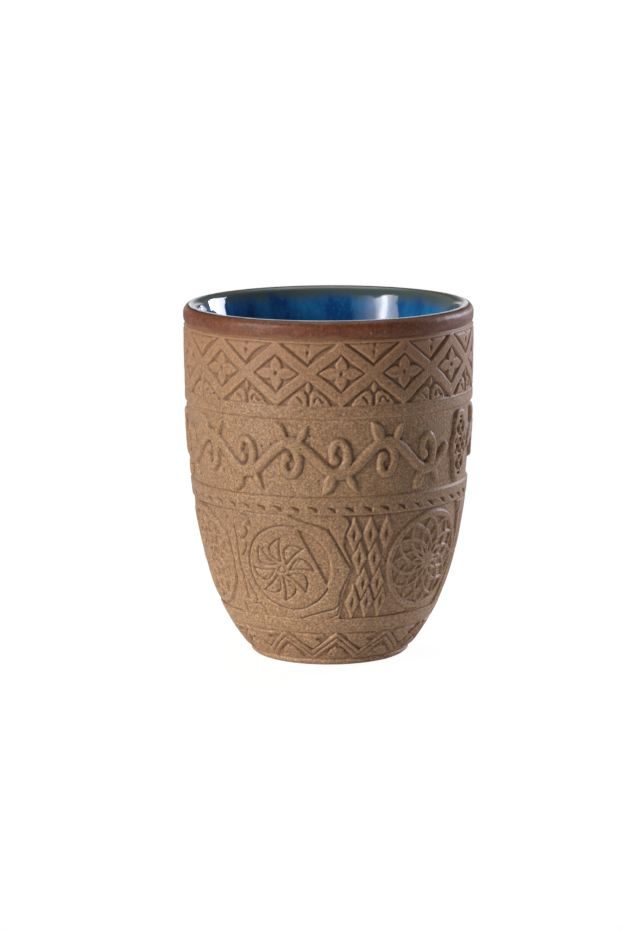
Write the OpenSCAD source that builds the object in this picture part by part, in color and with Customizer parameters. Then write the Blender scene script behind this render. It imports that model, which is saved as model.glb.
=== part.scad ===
// Arabic coffee cup without a handle.
// A clay body on a turned foot, a rolled rim, a glazed inside, and bands of raised ornament
// laid on the outside of the wall. The origin is at the middle of the foot, on the table.
// A turn is an angle round the cup, counted from the front (-Y) towards +X.

/* [Cup] */
// Overall height
cup_h = 73.3; // [66:0.1:84]
// Outside diameter over the rolled rim
rim_d = 60; // [54:0.1:70]
// Outside diameter of the foot
foot_d = 30; // [26:0.1:36]
// Thickness of the rolled lip, glaze included
lip_t = 3.2; // [2.6:0.1:3.8]
// Height of the rolled rim above its groove
rim_h = 3.75; // [3.2:0.05:5]
// How far the rim stands out beyond the wall below it
rim_overhang = 0.55; // [0.3:0.05:0.9]
// Height of the clay floor above the table
floor_h = 5; // [4:0.1:7]
// Diameter of the flat middle of the floor inside
floor_d = 12; // [8:0.5:16]
// Depth of the recess under the foot
recess_h = 1; // [0.5:0.1:2]
// Width of the foot ring that the cup stands on
foot_ring_w = 2.6; // [2:0.1:4]
// Thickness of the glaze
glaze_t = 0.4; // [0.2:0.05:0.6]
// Height of the flare inside, from its shoulder to the top of the cup
flare_h = 12.3; // [9:0.1:15]
// How much nearer the axis the inside is at the shoulder than at the lip
flare_w = 2.5; // [1.6:0.05:2.8]
// Slope of the inside where it meets the lip, in degrees from upright
lip_slope = 20; // [14:1:24]
// Angle on the round of the lip down to which the glaze laps over it, 90 being its top
glaze_lap_angle = 72; // [60:1:100]

/* [Bands, from the table up] */
// Height of the plain edge of the foot
foot_edge_h = 1.3; // [0.8:0.1:2]
// Height of the zigzag border
zigzag_h = 6.6; // [5:0.1:8]
// Height of the plain fillet above the zigzag
base_fillet_h = 3; // [2:0.1:4]
// Height of the frieze of medallions
medallion_h = 22.4; // [18:0.1:24]
// Height of the notched border
notched_h = 3.5; // [3:0.1:5]
// Height of the plain fillet under the diamonds
frieze_fillet_h = 2.2; // [1.5:0.1:3]
// Height of the diamond frieze
diamond_h = 13.9; // [11:0.1:15]
// Groove between two bands
band_gap = 0.25; // [0.15:0.05:0.5]

/* [Relief] */
// How far the ornament stands out from the wall
relief_t = 0.5; // [0.3:0.05:0.6]
// How far the cartouches stand out from the wall
cartouche_t = 0.7; // [0.4:0.05:0.8]
// Height of a lattice strip in the diamond frieze, measured straight up
lattice_h = 2.9; // [2:0.1:3.5]
// Height of the double zigzag line, measured straight up
zigzag_line_h = 2.4; // [1.8:0.1:2.8]
// Width of the groove that splits the zigzag line
zigzag_groove_w = 0.45; // [0.3:0.05:0.6]
// Width of the vine's strokes
vine_w = 1.6; // [1:0.1:2]
// Width of the ring round a roundel
roundel_ring_w = 1; // [0.7:0.1:1.4]
// Width of the star frame's lines
frame_w = 0.8; // [0.5:0.1:1.2]
// Width of the stems between the medallions
stem_w = 1.1; // [0.7:0.1:1.4]

/* [Counts] */
// Diamonds round the cup
diamond_count = 14; // [10:1:18]
// Zigzags round the foot
zigzag_count = 12; // [9:1:15]
// Notches round the cup
notch_count = 48; // [36:1:56]
// Times that the medallion frieze repeats
medallion_groups = 3; // [3:1:4]
// Half waves of vine between two cartouches
vine_wave_count = 8; // [6:2:10]

/* [Hidden] */

$fn = 120;
wall_steps = 26;
flare_steps = 8;
lip_steps = 12;
round_steps = 36;
cartouche_count = 2;

// Angles round the cup at which each band starts
diamond_turn = 5;
cartouche_turn = 65;
notch_turn = 0.8;
zigzag_turn = 4;
medallion_turn = 28;

// Main radii and levels of the cup
rim_r = rim_d / 2;
foot_r = foot_d / 2;
lip_r = lip_t / 2;
lip_mid = [rim_r - lip_r, cup_h - lip_r];
lip_start = -35;
lip_end = 180 - lip_slope;
clay_lip_r = lip_r - glaze_t;
wall_top = cup_h - rim_h;
wall_top_r = rim_r - rim_overhang;

// Levels of the bands
zigzag_low = foot_edge_h;
base_fillet_low = zigzag_low + zigzag_h + band_gap;
medallion_low = base_fillet_low + base_fillet_h + band_gap;
notched_low = medallion_low + medallion_h + band_gap;
vine_low = notched_low + notched_h;
diamond_low = wall_top - diamond_h;
frieze_fillet_low = diamond_low - frieze_fillet_h - band_gap;
vine_h = frieze_fillet_low - vine_low;

// Middle points of the wall's two curves, as shares of the way out and of the way up
outer_flare_shares = [0.75, 0.17];
outer_belly_shares = [1.006, 0.42];
inner_flare_shares = [0.98, 0];
inner_belly_shares = [0.93, 0.62];

function unit(v) = v / norm(v);

function bezier(a, b, c, d, t) =
    a * pow(1 - t, 3) + b * 3 * t * pow(1 - t, 2) + c * 3 * t * t * (1 - t) + d * pow(t, 3);

function on_way(a, b, shares) = [for (k = [0, 1]) a[k] + shares[k] * (b[k] - a[k])];

function wall_curve(low, high, flare, belly) = [
    for (i = [0:wall_steps])
        bezier(low, on_way(low, high, flare), on_way(low, high, belly), high, i / wall_steps)
];

// A curve moved to its left by a distance
function beside(line, distance) = [
    for (i = [0:len(line) - 1])
        let (along = unit(line[min(i + 1, len(line) - 1)] - line[max(i - 1, 0)]))
        line[i] + distance * [-along[1], along[0]]
];

function backwards(line) = [for (i = [len(line) - 1:-1:0]) line[i]];

outer_wall = wall_curve([foot_r, 0], [wall_top_r, wall_top], outer_flare_shares, outer_belly_shares);

// The clay's inner wall goes from the floor up to a shoulder, and flares out from there to the lip
inner_start = [floor_d / 2, floor_h];
shoulder = [lip_mid[0] - clay_lip_r - flare_w, cup_h - flare_h];
shoulder_way = unit(shoulder - on_way(inner_start, shoulder, inner_belly_shares));
shoulder_reach_share = 0.2;
lip_reach_share = 0.3;
inner_end = lip_point(clay_lip_r, lip_end);
inner_wall = concat(
    wall_curve(inner_start, shoulder, inner_flare_shares, inner_belly_shares),
    [for (i = [1:flare_steps]) bezier(
        shoulder,
        shoulder + shoulder_reach_share * flare_h * shoulder_way,
        inner_end - lip_reach_share * flare_h * [sin(lip_slope), cos(lip_slope)],
        inner_end,
        i / flare_steps
    )]
);

function level_table(line) = [for (p = line) [p[1], p[0]]];
outer_table = level_table(outer_wall);
inner_table = level_table(inner_wall);

function wall_r(level) = lookup(level, outer_table);

function lip_point(radius, angle) = lip_mid + radius * [cos(angle), sin(angle)];

function lip_arc(radius, from, to) = [
    for (i = [0:lip_steps]) lip_point(radius, from + (to - from) * i / lip_steps)
];

// The stretch of the outer wall between two levels
least_step = 0.1;
function wall_part(low, high) = concat(
    [[wall_r(low), low]],
    [for (p = outer_wall) if (p[1] > low + least_step && p[1] < high - least_step) p],
    [[wall_r(high), high]]
);

// A ring of even thickness on the wall, between two levels
module band(low, high, proud) {
    part = wall_part(low, high);
    rotate_extrude() polygon(concat(part, [for (p = backwards(part)) p + [proud, 0]]));
}

// Stands a flat drawing up in front of the wall at a turn, its second coordinate being the level,
// and gives it a depth that reaches through the ornament
depth_share = 0.82;
module facing(turn, low) {
    start = depth_share * wall_r(low);
    rotate([0, 0, turn])
        translate([0, -start, 0])
            rotate([90, 0, 0])
                linear_extrude(height = rim_r - start + lip_t)
                    children();
}

// Raises a flat drawing on the wall at each turn
module raised(low, high, turns, proud = relief_t) {
    for (turn = turns) {
        intersection() {
            band(low, high, proud);
            facing(turn, low) children();
        }
    }
}

// A flat shape from one outline and the holes in it
module outline(loops) {
    starts = [for (i = 0, s = 0; i < len(loops); s = s + len(loops[i]), i = i + 1) s];
    polygon(
        [for (loop = loops) each loop],
        [for (i = [0:len(loops) - 1]) [for (j = [0:len(loops[i]) - 1]) starts[i] + j]]
    );
}

// Turns of the copies of a motif
function around(count, first) = [for (i = [0:count - 1]) first + i * 360 / count];

// Half the width of a cell of the wall that spans an angle, at a level
function half_cell(angle, level) = wall_r(level) * angle * PI / 360;

// Points given in shares of a size, set out round a place
function placed(shares, size, at = [0, 0]) = [for (p = shares) at + [p[0] * size[0], p[1] * size[1]]];

function mirrored(line) = [for (p = backwards(line)) [-p[0], p[1]]];

// A ribbon of even width along a line
function ribbon(line, width) = concat(beside(line, -width / 2), backwards(beside(line, width / 2)));

// Points on the way from a to b, which bulges to the left by a share of its length, without b
bow_steps = 4;
function bow(a, b, bulge) = [
    for (i = [0:bow_steps - 1])
        let (t = i / bow_steps, way = b - a)
        a + t * way + 4 * t * (1 - t) * bulge * [-way[1], way[0]]
];

// A closed outline through corners, each side bulging outwards by its share
function bowed(corners, bulges) = [
    for (i = [0:len(corners) - 1])
        each bow(corners[i], corners[(i + 1) % len(corners)], -bulges[i % len(bulges)])
];

function ellipse(shares) = [for (i = [0:round_steps - 1]) [
    shares[0] * cos(i * 360 / round_steps),
    shares[1] * sin(i * 360 / round_steps)
]];

function polar(reach, angle) = reach * [cos(angle), sin(angle)];

// Body, rim and glaze

module clay_body() {
    color("#a07a57")
        rotate_extrude()
            polygon(concat(
                [[0, recess_h], [foot_r - foot_ring_w - recess_h, recess_h], [foot_r - foot_ring_w, 0]],
                outer_wall,
                [[lookup(wall_top, inner_table), wall_top]],
                [for (p = backwards(inner_wall)) if (p[1] < wall_top - least_step) p],
                [[0, floor_h]]
            ));
}

module rim_band() {
    color("#7a4634")
        rotate_extrude()
            polygon(concat(
                [[lookup(wall_top, inner_table), wall_top], [wall_top_r, wall_top]],
                lip_arc(lip_r, lip_start, glaze_lap_angle),
                lip_arc(clay_lip_r, glaze_lap_angle, lip_end),
                [for (p = backwards(inner_wall))
                    if (p[1] > wall_top + least_step && p[1] < inner_end[1] - least_step) p]
            ));
}

module interior_glaze() {
    lining = [for (p = beside(inner_wall, glaze_t)) if (p[1] < inner_end[1] - least_step) p];
    color("#1d5c8c")
        rotate_extrude()
            polygon(concat(
                [[0, floor_h]],
                inner_wall,
                backwards(lip_arc(clay_lip_r, glaze_lap_angle, lip_end)),
                lip_arc(lip_r, glaze_lap_angle, lip_end),
                backwards(lining),
                [[0, floor_h + glaze_t]]
            ));
}

// Diamond frieze

diamond_mid = diamond_low + diamond_h / 2;
diamond_half_w = half_cell(360 / diamond_count, diamond_mid);
diamond_rise = (diamond_h - lattice_h) / 2 - band_gap;
diamond_turns = around(diamond_count, diamond_turn);
crossing_turns = around(diamond_count, diamond_turn + 180 / diamond_count);
diamond_hole = [diamond_half_w * (1 - lattice_h / 2 / diamond_rise), diamond_rise - lattice_h / 2];
// The three-cornered holes over and under a crossing: half width and height
corner_hole_share = 0.93;
corner_hole = corner_hole_share * [diamond_half_w, diamond_rise];

rhombus_shares = [[1, 0], [0, 1], [-1, 0], [0, -1]];
flower_quarter_shares = [[0.9, 0], [0.62, 0.21], [0.4, 0.28], [0.27, 0.31], [0.25, 0.45], [0.14, 0.72]];
flower_pit_share = 0.11;
triangle_shares = bowed([[0, 0.13], [0.76, 0.95], [-0.76, 0.95]], [-0.09, 0, -0.09]);
triangle_pit_shares = [[0, 0.5], [0.11, 0.68], [-0.11, 0.68]];
bud_shares = bowed([[0, 0.5], [0, 0.87]], [0.22]);
stalk_shares = [[-0.06, 0.06], [0.06, 0.06], [0.045, 0.62], [-0.045, 0.62]];
leaf_shares = bowed([[0.03, 0.42], [0.3, 0.44], [0.73, 0.1], [0.24, 0.1]], [-0.12, 0.1, 0, 0.35]);
leaf_pit_shares = [[0.3, 0.2], [0.47, 0.2], [0.33, 0.33]];

function four_fold(quarter) =
    let (upper = concat(quarter, [[0, quarter[0][0]]], mirrored(quarter)))
    concat(upper, [for (i = [len(upper) - 2:-1:1]) [upper[i][0], -upper[i][1]]]);

// An outline over a crossing, or under it when the side is -1
function at_crossing(shares, side) =
    placed(shares, [corner_hole[0], side * corner_hole[1]], [0, diamond_mid + side * lattice_h / 2]);

module diamond_lattice() {
    corner_shares = [[0, 0], [1, 1], [-1, 1]];
    color("#a67f5b")
        difference() {
            band(diamond_low, wall_top, relief_t);
            for (turn = diamond_turns) {
                facing(turn, diamond_low) outline([placed(rhombus_shares, diamond_hole, [0, diamond_mid])]);
            }
            for (turn = crossing_turns, side = [-1, 1]) {
                facing(turn, diamond_low) outline([at_crossing(corner_shares, side)]);
            }
        }
}

module diamond_flowers() {
    color("#ab8560")
        raised(diamond_low, wall_top, diamond_turns)
            outline([
                placed(four_fold(flower_quarter_shares), diamond_hole, [0, diamond_mid]),
                placed(rhombus_shares, flower_pit_share * diamond_hole, [0, diamond_mid])
            ]);
}

module hanging_triangles() {
    color("#a87f5a")
        raised(diamond_low, wall_top, crossing_turns)
            outline([at_crossing(triangle_shares, 1), at_crossing(triangle_pit_shares, 1)]);
}

module palmettes() {
    color("#ab8560")
        raised(diamond_low, wall_top, crossing_turns)
            translate([0, diamond_mid - lattice_h / 2 - corner_hole[1]]) {
                outline([placed(bud_shares, corner_hole)]);
                outline([placed(stalk_shares, corner_hole)]);
                outline([placed(leaf_shares, corner_hole), placed(leaf_pit_shares, corner_hole)]);
                outline([
                    placed(mirrored(leaf_shares), corner_hole),
                    placed(mirrored(leaf_pit_shares), corner_hole)
                ]);
            }
}

module frieze_fillet() {
    color("#a67f5b") band(frieze_fillet_low, frieze_fillet_low + frieze_fillet_h, relief_t);
}

// Vine and cartouches

vine_mid = vine_low + vine_h / 2;
cartouche_angle = 18;
vine_margin_angle = 3;
vine_pitch = (360 / cartouche_count - cartouche_angle - 2 * vine_margin_angle) / vine_wave_count;
vine_half_w = half_cell(vine_pitch, vine_mid);
vine_rise_share = 0.42;
vine_first = cartouche_angle / 2 + vine_margin_angle + vine_pitch / 2;
cartouche_half_w = half_cell(cartouche_angle, vine_mid);

// Half a wave of the stem, which runs a little into the next one
arch_steps = 10;
arch_reach_share = 1.04;
arch_shares = [
    for (i = [0:arch_steps])
        let (x = arch_reach_share * (2 * i / arch_steps - 1))
        [x, vine_rise_share * cos(90 * x)]
];

// A tendril that leaves the stem near its top and curls inwards
tendril_steps = 12;
tendril_w_share = 0.82;
tendril_start = 100;
tendril_turn = 330;
tendril_mid_shares = [-0.08, -0.12];
tendril_reach_shares = [0.5, 0.2];
tendril_shares = [
    for (i = [0:tendril_steps])
        let (t = i / tendril_steps)
        tendril_mid_shares + polar(
            tendril_reach_shares[1] + (tendril_reach_shares[0] - tendril_reach_shares[1]) * pow(1 - t, 1.2),
            tendril_start - tendril_turn * t
        )
];
vine_leaf_shares = bowed([[-0.12, 0.38], [-0.66, 0.92]], [0.24]);
vine_twig_shares = bowed([[0.2, 0.36], [0.7, 0.84]], [0.16]);

module vine_wave(side) {
    size = [vine_half_w, side * vine_h / 2];
    at = [0, vine_mid];
    outline([ribbon(placed(arch_shares, size, at), vine_w)]);
    outline([ribbon(placed(tendril_shares, size, at), vine_w * tendril_w_share)]);
    outline([placed(vine_leaf_shares, size, at)]);
    outline([placed(vine_twig_shares, size, at)]);
}

module vine_scroll() {
    color("#ab8560")
        for (panel = around(cartouche_count, cartouche_turn)) {
            intersection() {
                band(vine_low, frieze_fillet_low, relief_t);
                union() {
                    for (i = [0:vine_wave_count - 1]) {
                        facing(panel + vine_first + i * vine_pitch, vine_low)
                            vine_wave(i % 2 == 0 ? 1 : -1);
                    }
                }
            }
        }
}

cartouche_corner_shares = [[0, -0.98], [0.6, -0.42], [0.6, 0.42], [0, 0.98], [-0.6, 0.42], [-0.6, -0.42]];
cartouche_bulge_shares = [0.2, 0.22, 0.2];
cartouche_pit_shares = bowed([[0, -0.11], [0, 0.11]], [0.3]);
cartouche_pitch_shares = [0.42, 0.21];
cartouche_row_count = 7;
cartouche_taper_share = 0.6;
last_row = (cartouche_row_count - 1) / 2;
cartouche_place_shares = [
    for (row = [-last_row:last_row])
        let (last = 2 - abs(row % 2), narrowing = 1 - pow(cartouche_taper_share * row / last_row, 2))
        for (k = [0:last])
            [(k - last / 2) * cartouche_pitch_shares[0] * narrowing, row * cartouche_pitch_shares[1]]
];

module cartouches() {
    size = [cartouche_half_w, vine_h / 2];
    color("#b08a66")
        raised(vine_low, frieze_fillet_low, around(cartouche_count, cartouche_turn), cartouche_t)
            outline(concat(
                [placed(bowed(cartouche_corner_shares, cartouche_bulge_shares), size, [0, vine_mid])],
                [for (spot = cartouche_place_shares)
                    placed(cartouche_pit_shares, size, [0, vine_mid] + placed([spot], size)[0])]
            ));
}

// Notched border

notch_shares = [[-0.34, 0.36], [0.1, 0.36], [0.4, 0.1]];

module notched_border() {
    cell = [2 * half_cell(360 / notch_count, notched_low), notched_h];
    color("#a67f5b")
        difference() {
            band(notched_low, vine_low, relief_t);
            for (turn = around(notch_count, notch_turn)) {
                facing(turn, notched_low) outline([placed(notch_shares, cell, [0, notched_low])]);
            }
        }
}

// Medallion frieze

// How a group of the frieze is shared among rosette, stem, roundel with its frame, and lozenges
group_shares = [44, 10.5, 47, 18.5];
group_angle = 360 / medallion_groups;
function cells_before(k) = k == 0 ? 0 : group_shares[k - 1] + cells_before(k - 1);
share_angle = group_angle / cells_before(len(group_shares));
function cell_angle(k) = share_angle * group_shares[k];
function cell_turn(k) = medallion_turn + share_angle * (cells_before(k) + group_shares[k] / 2);
medallion_mid = medallion_low + medallion_h / 2;
function cell_size(k) = [half_cell(cell_angle(k), medallion_mid), medallion_h / 2];
function cell_turns(k) = around(medallion_groups, cell_turn(k));

rosette_petals = 12;
rosette_share = 0.95;
// Reach of the pits in each of a rosette's rings, and half the angle that a pit spans.
// The pits of each second ring lie between those of the others.
rosette_ring_shares = [[0.66, 0.85], [0.44, 0.66], [0.27, 0.43]];
rosette_pit_spreads = [9.5, 8, 7];

function kite(near, far, spread, angle) = [
    polar(near, angle),
    polar((near + far) / 2, angle - spread),
    polar(far, angle),
    polar((near + far) / 2, angle + spread)
];

module rosettes() {
    size = cell_size(0);
    color("#a88260")
        raised(medallion_low, medallion_low + medallion_h, cell_turns(0))
            outline(concat(
                [placed(ellipse([rosette_share, rosette_share]), size, [0, medallion_mid])],
                [for (k = [0:len(rosette_ring_shares) - 1], i = [0:rosette_petals - 1])
                    let (ring = rosette_ring_shares[k], angle = (i + (k % 2) / 2) * 360 / rosette_petals)
                    placed(kite(ring[0], ring[1], rosette_pit_spreads[k], angle), size, [0, medallion_mid])]
            ));
}

// A stem's two lines meet at the waist and part towards the buds at both ends
stem_waist_share = 0.46;
stem_end_shares = [0.3, 0.72];
stem_bud_shares = bowed([[-0.12, 0.6], [0.2, 0.62], [1.25, 0.84], [0.1, 0.95]], [0, 0.1, 0.35, 0.2]);

module stem_ornaments() {
    size = cell_size(1);
    at = [0, medallion_mid];
    end = placed([stem_end_shares], size)[0];
    line = [at - end, at - [stem_waist_share * stem_w, 0], at + [-end[0], end[1]]];
    color("#ab8560")
        raised(medallion_low, medallion_low + medallion_h, cell_turns(1)) {
            outline([ribbon(line, stem_w)]);
            outline([ribbon(mirrored(line), stem_w)]);
            for (side = [-1, 1]) {
                outline([placed(stem_bud_shares, [size[0], side * size[1]], at)]);
                outline([placed(mirrored(stem_bud_shares), [size[0], side * size[1]], at)]);
            }
        }
}

// The roundel lies to the left in its cell, and the star frame round its right side
roundel_shift_share = -0.19;
roundel_shares = [0.77, 0.84];
roundel_petals = 8;
roundel_petal_shares = bowed([[0.2, 0], [0.72, 0]], [0.24]);
roundel_eye_share = 0.13;

function turned(line, angle) = [for (p = line) [
    p[0] * cos(angle) - p[1] * sin(angle),
    p[0] * sin(angle) + p[1] * cos(angle)
]];

module roundels() {
    cell = cell_size(2);
    size = [cell[0] * roundel_shares[0], cell[1] * roundel_shares[1]];
    at = [roundel_shift_share * cell[0], medallion_mid];
    ring = placed(ellipse([1, 1]), size, at);
    hole = placed(ellipse([1, 1]), size - [roundel_ring_w, roundel_ring_w], at);
    color("#ab8560")
        raised(medallion_low, medallion_low + medallion_h, cell_turns(2)) {
            outline([ring, hole]);
            outline([placed(ellipse([roundel_eye_share, roundel_eye_share]), size, at)]);
            for (i = [0:roundel_petals - 1]) {
                outline([placed(turned(roundel_petal_shares, i * 360 / roundel_petals), size, at)]);
            }
        }
}

frame_line_shares = [[-0.18, 0.94], [0.54, 0.7], [0.94, 0], [0.7, -0.72], [-0.1, -0.96]];

module star_frames() {
    size = cell_size(2);
    color("#a88260")
        raised(medallion_low, medallion_low + medallion_h, cell_turns(2))
            outline([ribbon(placed(frame_line_shares, size, [0, medallion_mid]), frame_w)]);
}

// Lozenges of a panel in four rows, by their middles as shares of the cell
lozenge_place_shares = [
    [-0.84, 0.64], [-0.12, 0.64], [0.6, 0.64],
    [-0.5, 0.2], [0.22, 0.2],
    [-0.28, -0.24], [0.44, -0.24],
    [-0.72, -0.66], [0, -0.66], [0.72, -0.66]
];
lozenge_shares = [0.29, 0.29];
lozenge_slit_shares = [0.07, 0.1];

module lozenge_panels() {
    size = cell_size(3);
    color("#ab8560")
        raised(medallion_low, medallion_low + medallion_h, cell_turns(3))
            for (spot = lozenge_place_shares) {
                at = [0, medallion_mid] + placed([spot], size)[0];
                outline([
                    placed(placed(rhombus_shares, lozenge_shares), size, at),
                    placed(placed(rhombus_shares, lozenge_slit_shares), size, at)
                ]);
            }
}

// Foot bands

module base_fillet() {
    color("#a67f5b") band(base_fillet_low, base_fillet_low + base_fillet_h, relief_t);
}

zigzag_top = zigzag_low + zigzag_h;
zigzag_mid = zigzag_low + zigzag_h / 2;
zigzag_half_w = half_cell(360 / zigzag_count, zigzag_mid);
zigzag_rise = (zigzag_h - zigzag_line_h) / 2 + band_gap;
zigzag_gap = [zigzag_half_w, 2 * zigzag_rise];
zigzag_tops = around(zigzag_count, zigzag_turn);
zigzag_valleys = around(zigzag_count, zigzag_turn + 180 / zigzag_count);

// An outline over a valley of the zigzag, or under one of its tops when the side is -1
function beside_zigzag(shares, side) = placed(
    shares,
    [zigzag_gap[0], side * zigzag_gap[1]],
    [0, zigzag_mid - side * (zigzag_rise - zigzag_line_h / 2)]
);

zigzag_gap_shares = [[0, 0], [0.98, 0.98], [-0.98, 0.98]];
hooked_leaf_shares = bowed(
    [[0, 0.2], [0.4, 0.5], [0.42, 0.36], [0.62, 0.74], [-0.62, 0.74]],
    [-0.06, -0.5, 0.5, 0, 0.1]
);
foot_bud_shares = bowed([[0, 0.22], [0.62, 0.76], [-0.44, 0.76], [-0.42, 0.56]], [0.12, 0, 0, 0.1]);

module zigzag_border() {
    end = 1 - zigzag_groove_w / zigzag_half_w;
    groove_shares = [[-end, -end], [0, 1], [end, -end]];
    groove = placed(groove_shares, [zigzag_half_w, zigzag_rise], [0, zigzag_mid]);
    color("#a67f5b")
        difference() {
            band(zigzag_low, zigzag_top, relief_t);
            for (turn = zigzag_valleys) {
                facing(turn, zigzag_low) outline([beside_zigzag(zigzag_gap_shares, 1)]);
            }
            for (turn = zigzag_tops) {
                facing(turn, zigzag_low) outline([beside_zigzag(zigzag_gap_shares, -1)]);
                facing(turn, zigzag_low) outline([ribbon(groove, zigzag_groove_w)]);
            }
        }
}

module zigzag_leaves() {
    color("#ab8560") {
        raised(zigzag_low, zigzag_top, zigzag_valleys) outline([beside_zigzag(hooked_leaf_shares, 1)]);
        raised(zigzag_low, zigzag_top, zigzag_tops) outline([beside_zigzag(foot_bud_shares, -1)]);
    }
}

clay_body();
rim_band();
interior_glaze();
diamond_lattice();
diamond_flowers();
hanging_triangles();
palmettes();
frieze_fillet();
vine_scroll();
cartouches();
notched_border();
rosettes();
stem_ornaments();
roundels();
star_frames();
lozenge_panels();
base_fillet();
zigzag_border();
zigzag_leaves();
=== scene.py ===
import math

import bpy
import numpy as np
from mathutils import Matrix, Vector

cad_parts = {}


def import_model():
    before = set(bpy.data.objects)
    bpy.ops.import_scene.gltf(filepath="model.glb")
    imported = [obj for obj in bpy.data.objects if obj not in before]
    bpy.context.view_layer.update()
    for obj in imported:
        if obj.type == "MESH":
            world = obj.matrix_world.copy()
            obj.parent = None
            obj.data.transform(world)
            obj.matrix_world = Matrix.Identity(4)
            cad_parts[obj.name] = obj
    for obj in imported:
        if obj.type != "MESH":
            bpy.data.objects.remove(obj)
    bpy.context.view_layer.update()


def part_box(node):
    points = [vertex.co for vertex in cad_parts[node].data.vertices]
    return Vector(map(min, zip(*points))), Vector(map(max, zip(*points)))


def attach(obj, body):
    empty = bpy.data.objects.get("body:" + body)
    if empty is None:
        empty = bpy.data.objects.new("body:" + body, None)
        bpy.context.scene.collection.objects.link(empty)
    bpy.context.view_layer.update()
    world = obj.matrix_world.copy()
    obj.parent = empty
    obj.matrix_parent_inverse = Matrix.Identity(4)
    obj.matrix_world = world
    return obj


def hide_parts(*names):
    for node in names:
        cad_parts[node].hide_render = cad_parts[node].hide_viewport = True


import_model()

# A small coffee cup of sandy stoneware with bands of raised ornament and a blue glazed inside.
# Sizes are in millimetres until a mesh is made. A turn is an angle round the cup in degrees,
# counted from the front (-Y) towards +X. A drawing on the wall has x along it and z up.

MM = 0.001


def levels(name):
    low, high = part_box(name)
    return low[2] / MM, high[2] / MM


# Sizes of the cup, from the frame
WALL_TOP, CUP_H = levels("rim_band")
RIM_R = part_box("rim_band")[1][0] / MM
FLOOR_H = levels("interior_glaze")[0]
FOOT_EDGE_H, ZIGZAG_TOP = levels("zigzag_border")
BASE_FILLET = levels("base_fillet")
NOTCHED = levels("notched_border")
FRIEZE_FILLET = levels("frieze_fillet")
DIAMONDS = levels("diamond_lattice")
GAP = BASE_FILLET[0] - ZIGZAG_TOP

# Sizes of the cup that no box gives. The two angles of the lip are in degrees.
FOOT_R = 15.0
FOOT_RING_W = 2.6
RECESS_H = 1.0
FLOOR_R = 6.0
RIM_OVERHANG = 0.55
LIP_T = 3.2
GLAZE_T = 0.4
GLAZE_EDGE = 72
LIP_SLOPE = 20
FLARE_H = 12.3
FLARE_W = 2.5
RELIEF = 0.5
MOTIF_RISE = 0.94 * RELIEF
CARTOUCHE_RISE = 0.7
SKIN_T = 0.7

# The relief reaches out to this radius at most, inside the frame's box
SAFE_R = RIM_R - 0.02

LIP_R = LIP_T / 2
LIP_MID = (RIM_R - LIP_R, CUP_H - LIP_R)
CLAY_LIP_R = LIP_R - GLAZE_T

# Ranges of level that each skin covers, which meet in the middle of the gaps
ZIGZAG_BAND = (FOOT_EDGE_H, ZIGZAG_TOP + GAP / 2)
BASE_BAND = (ZIGZAG_BAND[1], BASE_FILLET[1] + GAP / 2)
MEDALLION_BAND = (BASE_BAND[1], NOTCHED[0] - GAP / 2)
NOTCHED_BAND = (MEDALLION_BAND[1], NOTCHED[1])
VINE_BAND = (NOTCHED[1], FRIEZE_FILLET[0])
FRIEZE_BAND = (FRIEZE_FILLET[0], FRIEZE_FILLET[1] + GAP / 2)
DIAMOND_BAND = (FRIEZE_BAND[1], WALL_TOP)


# Curves


def bezier(a, b, c, d, steps=160):
    t = np.linspace(0, 1, steps + 1)[:, None]
    a, b, c, d = (np.array(p, float) for p in (a, b, c, d))
    return a * (1 - t) ** 3 + 3 * b * t * (1 - t) ** 2 + 3 * c * t * t * (1 - t) + d * t**3


def on_way(a, b, share_r, share_z):
    return (a[0] + share_r * (b[0] - a[0]), a[1] + share_z * (b[1] - a[1]))


def wall_curve(low, high, flare, belly):
    return bezier(low, on_way(low, high, *flare), on_way(low, high, *belly), high)


def beside(line, distance):
    """The line moved to its left by a distance."""
    along = np.gradient(line, axis=0)
    along /= np.linalg.norm(along, axis=1)[:, None]
    return line + distance * np.stack([-along[:, 1], along[:, 0]], axis=1)


def arc(middle, radius, start, end, steps):
    """Points on a circle between two angles in degrees."""
    angles = np.radians(np.linspace(start, end, steps + 1))
    return np.stack([middle[0] + radius * np.cos(angles), middle[1] + radius * np.sin(angles)], axis=1)


OUTER_WALL = wall_curve((FOOT_R, 0), (RIM_R - RIM_OVERHANG, WALL_TOP), (0.75, 0.17), (1.006, 0.42))


def inner_wall():
    """The clay's inner wall: up from the floor to a shoulder, and flaring out from there to the lip."""
    slope = math.radians(LIP_SLOPE)
    start = np.array([FLOOR_R, FLOOR_H])
    shoulder = np.array([LIP_MID[0] - CLAY_LIP_R - FLARE_W, CUP_H - FLARE_H])
    end = np.array(LIP_MID) + CLAY_LIP_R * np.array([-math.cos(slope), math.sin(slope)])
    way = shoulder - on_way(start, shoulder, 0.93, 0.62)
    lower = wall_curve(start, shoulder, (0.98, 0), (0.93, 0.62))
    handle = shoulder + 0.2 * FLARE_H * way / np.linalg.norm(way)
    arriving = np.array([math.sin(slope), math.cos(slope)])
    upper = bezier(shoulder, handle, end - 0.3 * FLARE_H * arriving, end, 60)
    return np.concatenate([lower, upper[1:]])


INNER_WALL = inner_wall()


def wall(level):
    """Outside radius of the plain wall at a level."""
    return np.interp(level, OUTER_WALL[:, 1], OUTER_WALL[:, 0])


def inner_r(level):
    return np.interp(level, INNER_WALL[:, 1], INNER_WALL[:, 0])


# Profiles and distances

REACH = 2.5
BOW_STEPS = 6


def smooth(share):
    share = np.clip(share, 0, 1)
    return share * share * (3 - 2 * share)


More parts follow.
